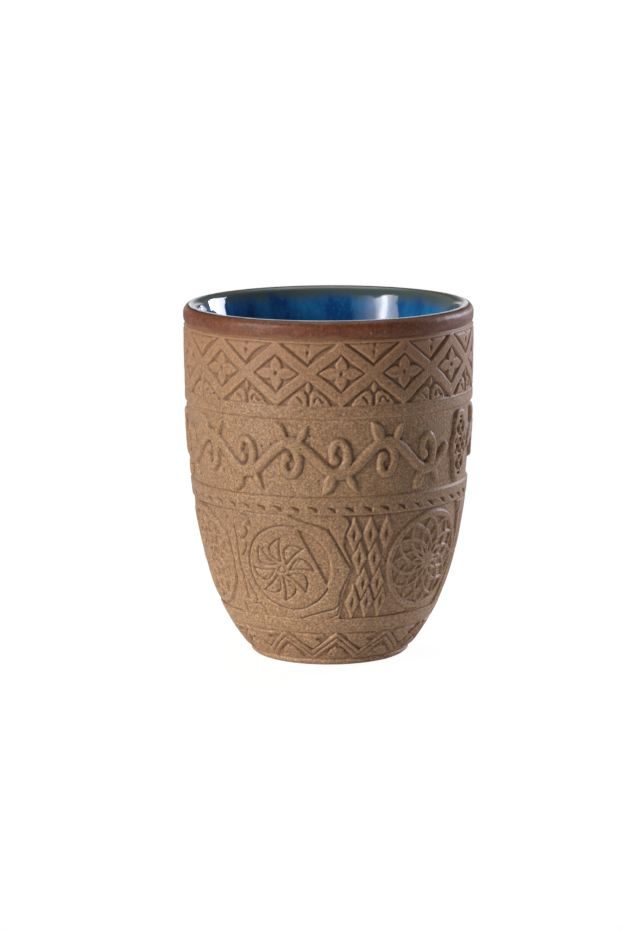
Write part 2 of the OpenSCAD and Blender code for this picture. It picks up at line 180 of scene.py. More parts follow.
def pillow(depth, edge):
    """Rises steeply from an outline and rounds off to 1 at the edge's width inside it."""
    share = np.clip(depth / edge, 0, 1)
    return np.sqrt(share * (2 - share))


def near_box(x, z, points):
    low, high = points.min(axis=0) - REACH, points.max(axis=0) + REACH
    return (x > low[0]) & (x < high[0]) & (z > low[1]) & (z < high[1])


def line_distance(x, z, line, closed=False):
    """Distance of every point to a line through points, up to REACH."""
    line = np.array(line, float)
    near = near_box(x, z, line)
    px, pz = x[near], z[near]
    best = np.full(px.shape, REACH)
    ends = np.roll(line, -1, axis=0) if closed else line[1:]
    for (ax, az), (bx, bz) in zip(line, ends):
        dx, dz = bx - ax, bz - az
        share = ((px - ax) * dx + (pz - az) * dz) / max(dx * dx + dz * dz, 1e-9)
        share = np.clip(share, 0, 1)
        best = np.minimum(best, np.hypot(px - ax - share * dx, pz - az - share * dz))
    distance = np.full(x.shape, REACH)
    distance[near] = best
    return distance


def depth_in(x, z, outline):
    """How deep every point lies inside a closed outline. Outside it the depth is negative."""
    outline = np.array(outline, float)
    near = near_box(x, z, outline)
    px, pz = x[near], z[near]
    inside = np.zeros(px.shape, bool)
    for (ax, az), (bx, bz) in zip(outline, np.roll(outline, -1, axis=0)):
        if az != bz:
            crosses = (az > pz) != (bz > pz)
            inside ^= crosses & (px < (bx - ax) * (pz - az) / (bz - az) + ax)
    distance = line_distance(x, z, outline, closed=True)
    sign = np.full(x.shape, -1.0)
    sign[near] = np.where(inside, 1.0, -1.0)
    return sign * distance


def raised(height, depth, top, edge):
    return np.maximum(height, top * pillow(depth, edge))


def cut(height, distance, width, depth):
    """A round-bottomed groove of a width along what the distance is measured from."""
    return height - depth * smooth(1.15 - 2 * distance / width)


def bow(a, b, bulge):
    """Points from a to b, bulging to the left by a share of the length, without b."""
    a, b = np.array(a, float), np.array(b, float)
    way = b - a
    side = np.array([-way[1], way[0]])
    return [a + t * way + 4 * t * (1 - t) * bulge * side for t in np.arange(BOW_STEPS) / BOW_STEPS]


def bowed(corners, bulges):
    """A closed outline through corners, each side bulging outwards by its share."""
    ends = corners[1:] + corners[:1]
    return [
        point
        for k, (a, b) in enumerate(zip(corners, ends))
        for point in bow(a, b, -bulges[k % len(bulges)])
    ]


def mirrored(line):
    return [(-p[0], p[1]) for p in reversed(line)]


def placed(shares, size, at=(0, 0)):
    return [(at[0] + p[0] * size[0], at[1] + p[1] * size[1]) for p in shares]


def turned(line, angle):
    c, s = math.cos(math.radians(angle)), math.sin(math.radians(angle))
    return [(p[0] * c - p[1] * s, p[0] * s + p[1] * c) for p in line]


def local(turn, first, period):
    """The turn counted from the nearest copy of a motif that repeats."""
    return (turn - first + period / 2) % period - period / 2


def scale_at(level):
    """Millimetres along the wall for one degree of turn."""
    return math.radians(1) * float(wall(level))


# Plain fillets


def edged(height, level, band, low_share, high_share, width=0.25):
    """Lowers a relief towards the seams of its band, where it keeps a share of its height."""
    low, high = band
    below = low_share + (1 - low_share) * smooth((level - low) / width)
    above = high_share + (1 - high_share) * smooth((high - level) / width)
    return height * np.minimum(below, above)


def fillet_relief(band, low_share, high_share, width):
    def relief(turn, level):
        return edged(RELIEF + 0 * turn, level, band, low_share, high_share, width)
    return relief


# Diamond frieze

DIAMOND_PERIOD = 360 / 14
DIAMOND_TURN = 5.0
STRIP_H = 2.9


def diamond_relief(turn, level):
    low, high = DIAMONDS
    middle = (low + high) / 2
    scale = scale_at(middle)
    half_w = DIAMOND_PERIOD * scale / 2
    rise = (high - low - STRIP_H) / 2 - GAP
    slope = half_w / math.hypot(half_w, rise)
    x = local(turn, DIAMOND_TURN, DIAMOND_PERIOD) * scale
    cross_x = local(turn, DIAMOND_TURN + DIAMOND_PERIOD / 2, DIAMOND_PERIOD) * scale
    z = level - middle
    inwards = rise * (1 - np.abs(x) / half_w) - np.abs(z)
    strip = (STRIP_H / 2 - np.abs(inwards)) * slope
    height = raised(0 * x, strip, RELIEF, 0.22)

    hole = (half_w * (1 - STRIP_H / 2 / rise), rise - STRIP_H / 2)
    height = raised(height, depth_in(x, z, flower_outline(hole)), MOTIF_RISE, 0.24)
    pit = depth_in(x, z, placed([(0.1, 0), (0, 0.17), (-0.1, 0), (0, -0.17)], hole))
    height = height - 0.4 * smooth(pit / 0.3 + 0.3)

    tip = STRIP_H / 2
    triangle = bowed([(0, tip + 0.45), (4.95, 5.85), (-5.0, 5.85)], [-0.085, 0.01, -0.015])
    height = raised(height, depth_in(cross_x, z, triangle), MOTIF_RISE, 0.24)
    drop = [(0, 3.2), (0.42, 4.45), (0, 4.95), (-0.42, 4.45)]
    height = height - 0.36 * smooth(depth_in(cross_x, z, drop) / 0.35 + 0.25)
    notch = line_distance(cross_x, z, [(0.25, 5.7), (-0.1, 6.2)])
    height = cut(height, notch, 0.8, 0.34)

    for side in (1, -1):
        height = palmette_half(height, side * cross_x, z, side)
    bud = bowed([(0, -1.45), (0, -3.95)], [0.24])
    height = raised(height, depth_in(cross_x, z, bud), RELIEF, 0.4)
    height = cut(height, line_distance(cross_x, z, [(0.0, -4.1), (0.03, -7.05)]), 0.46, 0.42)

    height = height * (1 - 0.9 * smooth((level - high + 0.45) / 0.3))
    line = raised(0 * x, 0.28 - np.abs(high - 0.62 - level), 0.9 * RELIEF, 0.2)
    line = np.maximum(line, raised(0 * x, low + 0.5 - level, 0.9 * RELIEF, 0.25))
    return edged(np.maximum(height, line), level, DIAMOND_BAND, 0.95, 1.0)


def flower_outline(hole):
    quarter = [(0.96, 0), (0.76, 0.17), (0.56, 0.3), (0.38, 0.34), (0.25, 0.28)]
    quarter += [(0.265, 0.44), (0.21, 0.61), (0.12, 0.78)]
    upper = quarter + [(0, 0.95)] + mirrored(quarter)
    lower = [(p[0], -p[1]) for p in reversed(upper)][1:-1]
    return placed(upper + lower, hole)


def palmette_half(height, x, z, side):
    """The right or left half of the bud's two leaves, under a crossing of the strips."""
    leaf = bowed(
        [(0.25, -6.5), (0.25, -4.3), (0.8, -3.45), (1.7, -3.4), (2.8, -4.15), (3.9, -5.3), (4.6, -6.4)],
        [0, 0.1, 0.12, 0.04, -0.02, 0.02, 0],
    )
    height = raised(height, depth_in(x, z, leaf), MOTIF_RISE, 0.24)
    if side < 0:
        return cut(height, line_distance(x, z, [(1.2, -5.9), (1.6, -5.2), (2.2, -4.75)]), 0.56, 0.4)
    curl = [(1.25, -5.65), (1.42, -4.95), (1.95, -4.65), (2.45, -5.0), (2.65, -5.6)]
    height = cut(height, line_distance(x, z, curl), 0.5, 0.4)
    return cut(height, line_distance(x, z, [(2.95, -5.75), (3.15, -5.6)]), 0.6, 0.4)


# Vine and cartouches

CARTOUCHE_TURN = 65.0
CARTOUCHE_ANGLE = 18.0
VINE_MARGIN = 3.0
VINE_WAVES = 8
VINE_W = 2.25
VINE_RISE = 0.72


def vine_relief(turn, level):
    low, high = VINE_BAND
    middle = (low + high) / 2
    scale = scale_at(middle)
    x = local(turn, CARTOUCHE_TURN, 180) * scale
    z = level - middle
    # the ground swells a little towards both fillets
    edge = np.minimum(level - low, high - level)
    height = 0.03 + 0.06 * smooth(1 - edge / 0.9)
    # the scroll is measured from the cartouche on its left
    along = ((turn - CARTOUCHE_TURN) % 180) * scale
    height = np.maximum(height, vine_scroll(along, z, scale, (high - low) / 2))
    return cartouche(height, x, z, CARTOUCHE_ANGLE * scale / 2, (high - low) / 2)


def vine_scroll(x, z, scale, half_h):
    pitch = (180 - CARTOUCHE_ANGLE - 2 * VINE_MARGIN) / VINE_WAVES * scale
    first = (CARTOUCHE_ANGLE / 2 + VINE_MARGIN) * scale + pitch / 2
    stem = [
        (first - pitch / 2 + pitch * t, 0.42 * half_h * math.sin(math.pi * t))
        for t in np.linspace(-0.04, VINE_WAVES + 0.04, 12 * VINE_WAVES + 1)
    ]
    height = stroke(x, z, stem, VINE_W, VINE_W)
    for k in range(VINE_WAVES):
        side = 1 if k % 2 == 0 else -1
        at = (first + k * pitch, 0)
        grown = (pitch / 2, side * half_h)
        tendril = placed(tendril_shares(), grown, at)
        height = np.maximum(height, stroke(x, z, tendril, 0.95 * VINE_W, 0.6 * VINE_W))
        berry = tendril[-1]
        height = np.maximum(height, stroke(x, z, [berry, (berry[0] + 0.01, berry[1])], VINE_W, VINE_W))
        for leaf in (vine_leaf(), vine_twig()):
            depth = depth_in(x, z, placed(leaf, grown, at))
            midrib = placed([leaf[0], leaf[len(leaf) // 2]], grown, at)
            rib = 0.22 * smooth(1 - line_distance(x, z, midrib) / 0.3)
            height = np.maximum(height, VINE_RISE * pillow(depth, 0.75) * (1 - 0.5 * rib))
    return height


def tendril_shares():
    shares = []
    for t in np.linspace(0, 1, 25):
        reach = 0.2 + 0.3 * (1 - t) ** 1.2
        angle = math.radians(100 - 330 * t)
        shares.append((-0.08 + reach * math.cos(angle), -0.12 + reach * math.sin(angle)))
    return shares


def vine_leaf():
    return bowed([(-0.1, 0.34), (-0.72, 0.94)], [0.27])


def vine_twig():
    return bowed([(0.2, 0.34), (0.76, 0.88)], [0.2])


def stroke(x, z, line, start_w, end_w):
    """A round-backed raised stroke along a line, whose width changes from its start to its end."""
    height = np.zeros(x.shape)
    pieces = 4 if start_w != end_w else 1
    count = len(line)
    for k in range(pieces):
        first, last = k * (count - 1) // pieces, (k + 1) * (count - 1) // pieces
        width = start_w + (end_w - start_w) * (k + 0.5) / pieces
        distance = line_distance(x, z, line[first:last + 1])
        share = np.clip(2 * distance / width, 0, 1)
        height = np.maximum(height, VINE_RISE * np.sqrt(1 - share**2.6))
    return height


def cartouche(height, x, z, half_w, half_h):
    """A raised almond of three lobes a side, pierced by a lattice inside its border."""
    corners = [(0, -0.98), (0.56, -0.38), (0.56, 0.38), (0, 0.98), (-0.56, 0.38), (-0.56, -0.38)]
    outline = bowed(corners, [0.28, 0.3, 0.28])
    depth = depth_in(x, z, placed(outline, (half_w, half_h)))
    height = np.maximum(height, CARTOUCHE_RISE * pillow(depth, 0.55))
    inner = depth_in(x, z, placed(outline, (0.72 * half_w, 0.8 * half_h)))
    pitch = (0.5 * half_w, 0.46 * half_h)
    lattice = np.zeros(x.shape)
    for lean in (1, -1):
        steps = x / pitch[0] + lean * z / pitch[1]
        away = np.abs(steps - np.round(steps)) / math.hypot(1 / pitch[0], 1 / pitch[1])
        lattice = np.maximum(lattice, pillow(0.38 - away, 0.3))
    rungs = z / pitch[1] - 0.5
    lattice = np.maximum(lattice, pillow(0.26 - np.abs(rungs - np.round(rungs)) * pitch[1], 0.22))
    pierced = smooth(inner / 0.2) * (1 - lattice)
    return height - (CARTOUCHE_RISE + 0.1) * pierced


# Notched border

NOTCH_PERIOD = 360 / 48
NOTCH_TURN = 0.8


def notched_relief(turn, level):
    low = NOTCHED_BAND[0]
    scale = scale_at(low)
    x = local(turn, NOTCH_TURN, NOTCH_PERIOD) * scale
    z = level - low
    height = edged(RELIEF + 0 * turn, level, NOTCHED_BAND, 1.0, 0.2, 0.5)
    notch = [(-1.05, 1.55), (0.0, 1.42), (0.95, 1.2), (1.12, 0.38), (0.8, 0.34), (0.1, 0.85)]
    return height - 0.5 * smooth(depth_in(x, z, notch) / 0.2 + 0.4)


# Medallion frieze

GROUP = 120
STAGE_LEVEL = 0.47
GROUND_LEVEL = -0.27
STEM_TURN = -43

# Turn and level of each middle
ROUNDEL_AT = (-18.2, 22.3)
ROSETTE_AT = (49.2, 22.5)
LOZENGES_AT = [
    (10.7, 29.5), (17.6, 29.5), (24.7, 29.5),
    (13.2, 24.5), (20.0, 24.5),
    (15.4, 19.0), (22.4, 19.0),
    (11.0, 14.9), (18.1, 14.9), (25.2, 14.9),
]


def medallion_relief(turn, level):
    low, high = MEDALLION_BAND
    middle = (low + high) / 2
    scale = scale_at(middle)

    def spots(pairs):
        """Points on the wall in millimetres, from pairs of turn and level."""
        return [(a * scale, z) for a, z in pairs]

    def from_middle(at):
        return local(turn, at[0], GROUP) * scale, level - at[1]

    height = GROUND_LEVEL + 0 * turn
    height = frame_plate(height, local(turn, 0, GROUP) * scale, level, spots)
    height = stem_ornament(height, local(turn, STEM_TURN, GROUP) * scale, level, spots)
    height = roundel(height, *from_middle(ROUNDEL_AT))
    height = lozenges(height, [from_middle(at) for at in LOZENGES_AT])
    height = rosette(height, *from_middle(ROSETTE_AT))
    border = high - 0.37
    height = np.where(level > border, RELIEF, height)
    height = cut(height, np.abs(level - border), 0.42, 0.28)
    return edged(height, level, MEDALLION_BAND, 0.62, 1.0)


def lozenges(height, places):
    """Slit lozenges, with a thin seam wherever two of them meet."""
    outline = bowed([(1.6, 0), (0, 4.0), (-1.6, 0), (0, -4.0)], [-0.01])
    slit_outline = [(0.42, 0), (0, 1.4), (-0.42, 0), (0, -1.4)]
    first = np.full(height.shape, -REACH)
    second = first
    slit = first
    for x, z in places:
        depth = depth_in(x, z, outline)
        second = np.maximum(second, np.minimum(first, depth))
        first = np.maximum(first, depth)
        slit = np.maximum(slit, depth_in(x, z, slit_outline))
    # the second depth is that in the next lozenge, and both are the same in the middle of the seam
    from_seam = (first - second) / 2 - 0.06
    height = raised(height, np.minimum(first, from_seam), RELIEF, 0.26)
    return height - 0.45 * smooth(slit / 0.28 + 0.35)


def frame_plate(height, x, z, spots):
    """The level ground from the stem to the star frame, and the grooves that draw the frame."""
    plate = spots([
        (-52, 33.9), (4.5, 33.9), (7.6, 33.1), (8.9, 31.9), (6.7, 29.2), (6.1, 27.3),
        (9.3, 23.7), (10.5, 22.2), (8.0, 18.9), (6.3, 16.6), (6.1, 15.0), (4.9, 11),
        (-52, 11), (-48.5, 15), (-47.2, 22.5), (-48.5, 30),
    ])
    height = raised(height, depth_in(x, z, plate), STAGE_LEVEL, 0.26)
    grooves = [
        ([(-16.6, 33.5), (-10.2, 32.3), (-3.5, 31.3), (-0.2, 30.65)], 0.46),
        ([(-0.2, 30.65), (2.3, 28.5), (4.7, 26.4), (7.4, 24.1), (10.2, 22.2)], 0.66),
        ([(9.6, 21.9), (7.0, 18.9), (5.4, 16.9), (4.6, 14.5),
          (2.6, 13.6), (-4.5, 12.7), (-15.4, 11.2)], 0.5),
        ([(6.2, 15.9), (5.2, 14.6), (4.1, 12.2), (0.5, 11.6)], 0.4),
    ]
    for line, width in grooves:
        height = cut(height, line_distance(x, z, spots(line)), width, 0.46)
    return height


def stem_ornament(height, x, z, spots):
    """An upright stem with a branch at its right, hooked leaves at its head and buds at its foot."""
    lines = [
        [(-1.1, 30.3), (-0.6, 27.6), (-0.7, 21.8), (0.1, 18.5), (0.0, 14.7)],
        [(-1.2, 20.8), (1.2, 19.4), (2.8, 18.0), (5.5, 14.5)],
        [(3.2, 33.0), (5.2, 33.1), (6.9, 32.4), (7.5, 31.4), (7.3, 30.6)],
        [(5.2, 30.2), (6.1, 29.5), (4.6, 28.4), (2.6, 27.8)],
        [(5.0, 27.2), (4.4, 25.9), (1.8, 24.0)],
        [(-5.7, 32.9), (-4.9, 31.9), (-6.4, 30.6)],
        [(-3.4, 13.5), (-3.9, 12.4), (-3.6, 11.4)],
        [(3.4, 13.8), (6.4, 13.8), (8.6, 12.9), (8.8, 11.7)],
    ]
    for line in lines:
        height = cut(height, line_distance(x, z, spots(line)), 0.5, 0.42)
    return height


ROUNDEL_R = 9.0
CHORD = 5.4
CHORD_LEAN = 26
WHIRL_AT = (-1.5, -0.4)
WHIRL_PETALS = 8


def roundel(height, x, z):
    """A disc with a whirl of petals. A chord cuts off its right side, where a crescent is sunk."""
    reach = np.hypot(x, z)
    lean = math.radians(CHORD_LEAN)
    beyond = x * math.cos(lean) + z * math.sin(lean) - CHORD
    height = height - 0.5 * smooth(beyond / 0.25) * smooth((ROUNDEL_R - 0.25 - reach) / 0.4)
    outer = pillow(0.4 - np.abs(reach - ROUNDEL_R - 0.1), 0.3) * smooth(beyond / 0.6)
    height = height + (RELIEF + 0.04 - height) * outer
    height = cut(height, np.abs(reach - ROUNDEL_R) + 3 * smooth(beyond / 0.5), 0.55, 0.42)
    x, z = x - WHIRL_AT[0], z - WHIRL_AT[1]
    for k in range(WHIRL_PETALS):
        angle = 360 / WHIRL_PETALS * k
        petal = turned(bowed([(1.6, 0), (6.7, 0)], [-0.06, 0.5]), angle)
        height = cut(height, np.abs(depth_in(x, z, petal)), 0.52, 0.42)
        vein = turned([(3.2, -1.3), (4.9, -1.35)], angle)
        height = cut(height, line_distance(x, z, vein), 0.42, 0.3)
    return cut(height, np.abs(np.hypot(x, z) - 0.7), 0.42, 0.34)


ROSETTE_R = 10.45
ROSETTE_GROUND = -0.46
ROSETTE_PETALS = 12
PETAL_SWEEP = 1.05


def rosette(height, x, z):
    """A ring round interlaced petals, whose lines leave rings of pits between them."""
    reach = np.hypot(x, z)
    angle = np.arctan2(z, x)
    petals_r = ROSETTE_R - 1.2
    out = reach / petals_r
    height = np.where(reach < ROSETTE_R, ROSETTE_GROUND, height)
    step = 2 * math.pi / ROSETTE_PETALS
    spread = PETAL_SWEEP * (1 - out)
    slant = np.cos(np.arctan(out))
    lines = np.zeros(x.shape)
    for side in (1, -1):
        turns = (angle + side * spread) / step
        distance = np.abs(turns - np.round(turns)) * step * reach * slant
        lines = np.maximum(lines, pillow(0.43 - distance, 0.3))
    lines = np.maximum(lines, smooth((2.2 - reach) / 0.5))
    height = np.where(reach < petals_r + 0.1, height + (0.8 * RELIEF - height) * lines, height)
    ring = 0.68 - np.abs(reach - ROSETTE_R + 0.65)
    height = raised(height, ring, RELIEF, 0.36)
    return cut(height, np.abs(reach - ROSETTE_R + 0.62), 0.4, 0.12)


# Zigzag border

ZIGZAG_PERIOD = 30
ZIGZAG_TURN = 4.0
ZIGZAG_LINE_H = 2.4


def zigzag_relief(turn, level):
    middle = (FOOT_EDGE_H + ZIGZAG_TOP) / 2
    scale = scale_at(middle)
    half_w = ZIGZAG_PERIOD * scale / 2
    rise = (ZIGZAG_TOP - FOOT_EDGE_H - ZIGZAG_LINE_H) / 2 + GAP
    slope = half_w / math.hypot(half_w, 2 * rise)
    x = local(turn, ZIGZAG_TURN, ZIGZAG_PERIOD) * scale
    valley_x = local(turn, ZIGZAG_TURN + ZIGZAG_PERIOD / 2, ZIGZAG_PERIOD) * scale
    z = level - middle
    off = np.abs(z - rise * (1 - 2 * np.abs(x) / half_w)) * slope
    height = 0 * x
    leaf = bowed(
        [(-3.0, 2.8), (-2.4, 1.45), (-0.7, 0.1), (0.5, -0.45), (2.1, 0.95),
         (1.1, 1.45), (1.65, 2.05), (3.1, 2.1), (2.3, 2.95), (-2.3, 3.05)],
        [0.1, 0.05, 0.15, 0.12, 0.1, -0.35, -0.1, 0.1, 0, 0.1],
    )
    height = raised(height, depth_in(valley_x, z, leaf), MOTIF_RISE, 0.26)
    bud = bowed(
        [(-2.4, -3.0), (-1.4, -0.75), (-0.2, 0.2), (1.25, -0.5), (3.1, -3.0)],
        [0.05, 0.1, 0.1, 0.02, 0],
    )
    height = raised(height, depth_in(x, z, bud), MOTIF_RISE, 0.26)
    height = cut(height, line_distance(x, z, [(-1.55, -2.2), (-1.1, -1.75), (-0.75, -1.9)]), 0.48, 0.36)
    height = np.where(off < ZIGZAG_LINE_H / 2 * slope + 0.16, 0, height)
    height = raised(height, ZIGZAG_LINE_H / 2 * slope - off, RELIEF, 0.24)
    height = cut(height, off, 0.42, 0.38)
    # the relief runs out towards the foot's edge
    height = height * (0.35 + 0.65 * smooth((level - FOOT_EDGE_H) / 1.3))
    return edged(height, level, ZIGZAG_BAND, 1.0, 0.5)


# Meshes


def closed_mesh(name, rows, poles=()):
    """A mesh of rings of points. Without poles the last ring joins the first. Two poles close the ends."""
    ring_count, columns = rows.shape[:2]
    points = [rows.reshape(-1, 3)]
    step = np.arange(columns)
    after = (step + 1) % columns
    rings = ring_count if not poles else ring_count - 1
    quads = []
    for k in range(rings):
        a, b = k * columns, (k + 1) % ring_count * columns
        quads.append(np.stack([a + step, a + after, b + after, b + step], axis=1))
    quads = np.concatenate(quads)
    triangles = np.zeros((0, 3), int)
    if poles:
        points.append(np.array(poles, float))
        start = ring_count * columns
        top = (ring_count - 1) * columns
        triangles = np.concatenate([
            np.stack([np.full(columns, start), after, step], axis=1),
            np.stack([top + step, top + after, np.full(columns, start + 1)], axis=1),
        ])
    points = np.concatenate(points) * MM
    mesh = bpy.data.meshes.new(name)
    mesh.vertices.add(len(points))
    mesh.vertices.foreach_set("co", points.ravel())
    corners = np.concatenate([quads.ravel(), triangles.ravel()])
    starts = np.concatenate([
        np.arange(len(quads)) * 4,
        len(quads) * 4 + np.arange(len(triangles)) * 3,
    ])
    mesh.loops.add(len(corners))
    mesh.loops.foreach_set("vertex_index", corners.astype(np.int32))
    mesh.polygons.add(len(starts))
    mesh.polygons.foreach_set("loop_start", starts.astype(np.int32))
    mesh.update(calc_edges=True)
    mesh.validate()
    mesh.polygons.foreach_set("use_smooth", np.ones(len(mesh.polygons), bool))
    piece = bpy.data.objects.new(name, mesh)
    bpy.context.scene.collection.objects.link(piece)
    return piece


def sharpen(piece, columns, sharp_rings):
    """Marks the edges that run along some of the rings as sharp."""
    mesh = piece.data
    ends = np.zeros(len(mesh.edges) * 2, np.int32)
    mesh.edges.foreach_get("vertices", ends)
    ring = ends.reshape(-1, 2) // columns
    sharp = (ring[:, 0] == ring[:, 1]) & np.isin(ring[:, 0], sharp_rings)
    mark = mesh.attributes.new("sharp_edge", "BOOLEAN", "EDGE")
    mark.data.foreach_set("value", sharp)


def point_values(piece, name, values):
    mark = piece.data.attributes.new(name, "FLOAT", "POINT")
    mark.data.foreach_set("value", np.asarray(values, np.float32).ravel())


def ring_points(radius, level):
    """Points from fields with one row for each ring and one column for each step round the cup."""
    columns = radius.shape[1]
    angle = np.arange(columns) * 2 * math.pi / columns
    return np.stack([radius * np.sin(angle), -radius * np.cos(angle), level], axis=-1)


def blurred(values, times):
    """Softens a field that closes on itself from left to right."""
    for _ in range(times):
        values = (np.roll(values, 1, axis=1) + 2 * values + np.roll(values, -1, axis=1)) / 4
        padded = np.concatenate([values[:1], values, values[-1:]])
        values = (padded[:-2] + 2 * values + padded[2:]) / 4
    return values


# The handwork's unevenness: motifs drift by degrees round the cup and millimetres up and down, and
# the surface swells by millimetres. Pits have ranges of radius and depth.
DRIFT = 0.1
SWAY = 0.045
SWELL = 0.02
WAVES = 7
PIT_R = (0.16, 0.34)
PIT_DEPTH = (0.12, 0.26)


def unevenness(turn, level, seed, size):
    """A gentle drift over the wall that closes on itself."""
    draw = np.random.default_rng(seed)
    total = 0 * turn
    for _ in range(WAVES):
        round_count = draw.integers(2, 26)
        up = draw.uniform(-0.9, 0.9)
        start = draw.uniform(0, 2 * math.pi)
        total = total + np.sin(np.radians(turn) * round_count + up * level + start)
    return size * total / math.sqrt(WAVES)


def pitted(height, low, high, seed, count):
    """Small round pits, as grit leaves in the clay."""
    draw = np.random.default_rng(seed)
    rows = height.shape[0] - 1
    columns = height.shape[1]
    level_step = (high - low) / rows
    for _ in range(count):
        column = draw.integers(0, columns)
        level = draw.uniform(low + 0.4, high - 0.4)
        radius = draw.uniform(*PIT_R)
        depth = draw.uniform(*PIT_DEPTH)
        column_step = 2 * math.pi * float(wall(level)) / columns
        row = (level - low) / level_step
        reach_c = int(2.5 * radius / column_step) + 1
        reach_r = int(2.5 * radius / level_step) + 1
        for r in range(max(0, int(row) - reach_r), min(rows, int(row) + reach_r) + 1):
            for c in range(column - reach_c, column + reach_c + 1):
                away = math.hypot((c - column) * column_step, (r - row) * level_step)
                height[r, c % columns] -= depth * math.exp(-((away / radius) ** 2))
    return height


BACK_ROWS = 7
DEEP = 0.3


def band_skin(name, band, columns, rows, relief, seed, pits):
    """A closed skin on the wall between two levels, whose outside the relief raises."""
    low, high = band
    # the relief is drawn twice as finely as the mesh, and softened
    turns = np.arange(2 * columns) * 180.0 / columns
    turn, level = np.meshgrid(turns, np.linspace(low, high, 2 * rows + 1))
    drift = unevenness(turn, level, seed, DRIFT)
    sway = unevenness(turn, level, seed + 1, SWAY)
    inner = smooth(np.minimum(level - low, high - level) / 0.8)
    height = relief(turn + drift * inner, level + sway * inner)
    height = blurred(height, 1)[::2, ::2]
    turn, level = turn[::2, ::2], level[::2, ::2]
    away = smooth(np.minimum(level - low, high - level) / 0.3)
    height = height + away * unevenness(turn, level, seed + 2, SWELL)
    height = pitted(height, low, high, seed + 3, pits)
    # how far a point lies below its surroundings, and more than DEEP below the plain wall; the clay's
    # colour paints shade into these hollows
    hollow = height - blurred(height, 12) + np.minimum(0, height + DEEP)
    outer = ring_points(np.minimum(wall(level) + height, SAFE_R), level)
    back_level = np.repeat(np.linspace(high, low, BACK_ROWS)[:, None], columns, axis=1)
    back = ring_points(wall(back_level) - SKIN_T, back_level)
    piece = closed_mesh(name, np.concatenate([outer, back]))
    ring_count = len(outer) + len(back)
    sharpen(piece, columns, [0, len(outer) - 1, len(outer), ring_count - 1])
    zeros = np.zeros((len(back), columns))
    point_values(piece, "hollow", np.concatenate([hollow, zeros]))
    return piece


def revolved(name, profile, columns, push):
    """
    A closed turned piece. The profile runs from the axis back to the axis, or round in a loop.
    The push is a field of millimetres that moves the surface to the right of the profile.
    """
    profile = np.array(profile, float)
    poles = ()
    if profile[0][0] == 0:
        poles = [(0, 0, profile[0][1]), (0, 0, profile[-1][1])]
        profile = profile[1:-1]
        along = np.gradient(profile, axis=0)
    else:
        along = np.gradient(np.concatenate([profile[-1:], profile, profile[:1]]), axis=0)[1:-1]
    along /= np.linalg.norm(along, axis=1)[:, None] + 1e-9
    radius = np.repeat(profile[:, :1], columns, axis=1)
    level = np.repeat(profile[:, 1:], columns, axis=1)
    turn = np.repeat(np.arange(columns)[None] * 360.0 / columns, len(profile), axis=0)
    shift = push(turn, radius, level)
    radius = np.maximum(radius + shift * along[:, 1:], 0.01)
    level = level - shift * along[:, :1]
    return closed_mesh(name, ring_points(radius, level), poles)


# The coats lie this much below their plain surface, so that their unevenness stays in the frame's box
INSET = 0.05
GLAZE_WAVES_TOP = 71.6


def clay_body():
    """The shell: its foot ring shows, and its wall lies just under the skins."""
    foot_in = FOOT_R - FOOT_RING_W
    wall_r = float(wall(FOOT_EDGE_H))
    edge_r = wall_r + 0.08
    foot_edge = bezier(
        (FOOT_R - 0.7, 0), (FOOT_R + 0.2, 0), (edge_r - 0.55, 0.3), (edge_r - 0.05, 0.95), 8,
    )
    under_skin = [p - (SKIN_T, 0) for p in OUTER_WALL if p[1] > FOOT_EDGE_H]
    profile = [(0, RECESS_H), (4, RECESS_H), (8, RECESS_H), (foot_in - 1.2, RECESS_H)]
    profile += [(foot_in - 0.5, RECESS_H - 0.2), (foot_in - 0.1, 0.35)]
    profile += [(foot_in + 0.3, 0.05), (foot_in + 0.7, 0)]
    profile += list(foot_edge) + [(edge_r, FOOT_EDGE_H), (wall_r - SKIN_T, FOOT_EDGE_H)]
    profile += under_skin[::6] + [tuple(under_skin[-1])]
    profile += [(float(inner_r(WALL_TOP)), WALL_TOP)]
    profile += [tuple(p) for p in INNER_WALL[::-5] if p[1] < WALL_TOP] + [(0, FLOOR_H)]

    def push(turn, radius, level):
        outside = (level < FOOT_EDGE_H) & (radius > foot_in)
        return np.where(outside & (level > 0.1), unevenness(turn, 8 * level, 5, 0.02), 0)
    return revolved("stoneware_body", profile, 480, push)


def rim():
    """The lip's roll of slip, whose upright face curves in to a shallow neck over the ornament."""
    neck_r = RIM_R - RIM_OVERHANG
    face = bezier(
        (neck_r, WALL_TOP), (neck_r + 0.4, WALL_TOP + 0.12),
        (RIM_R, WALL_TOP + 0.8), (RIM_R, LIP_MID[1]), 12,
    )
    roll = arc(LIP_MID, LIP_R, 0, GLAZE_EDGE, 20)
    seat = arc(LIP_MID, CLAY_LIP_R, GLAZE_EDGE, 180 - LIP_SLOPE, 12)
    inside = [tuple(p) for p in INNER_WALL[::-4] if WALL_TOP + 0.1 < p[1] < seat[-1][1] - 0.1]
    profile = [(float(inner_r(WALL_TOP)), WALL_TOP), (neck_r - 1.2, WALL_TOP)]
    profile += list(face)[:-1] + list(roll) + list(seat) + inside

    def push(turn, radius, level):
        outside = smooth((level - WALL_TOP) / 0.6) * smooth((radius - LIP_MID[0]) / 0.8)
        uneven = unevenness(turn, 1.4 * level, 31, 0.035) + unevenness(turn * 3, 3 * level, 33, 0.012)
        return outside * (uneven - INSET)
    return revolved("rim_roll", profile, 720, push)


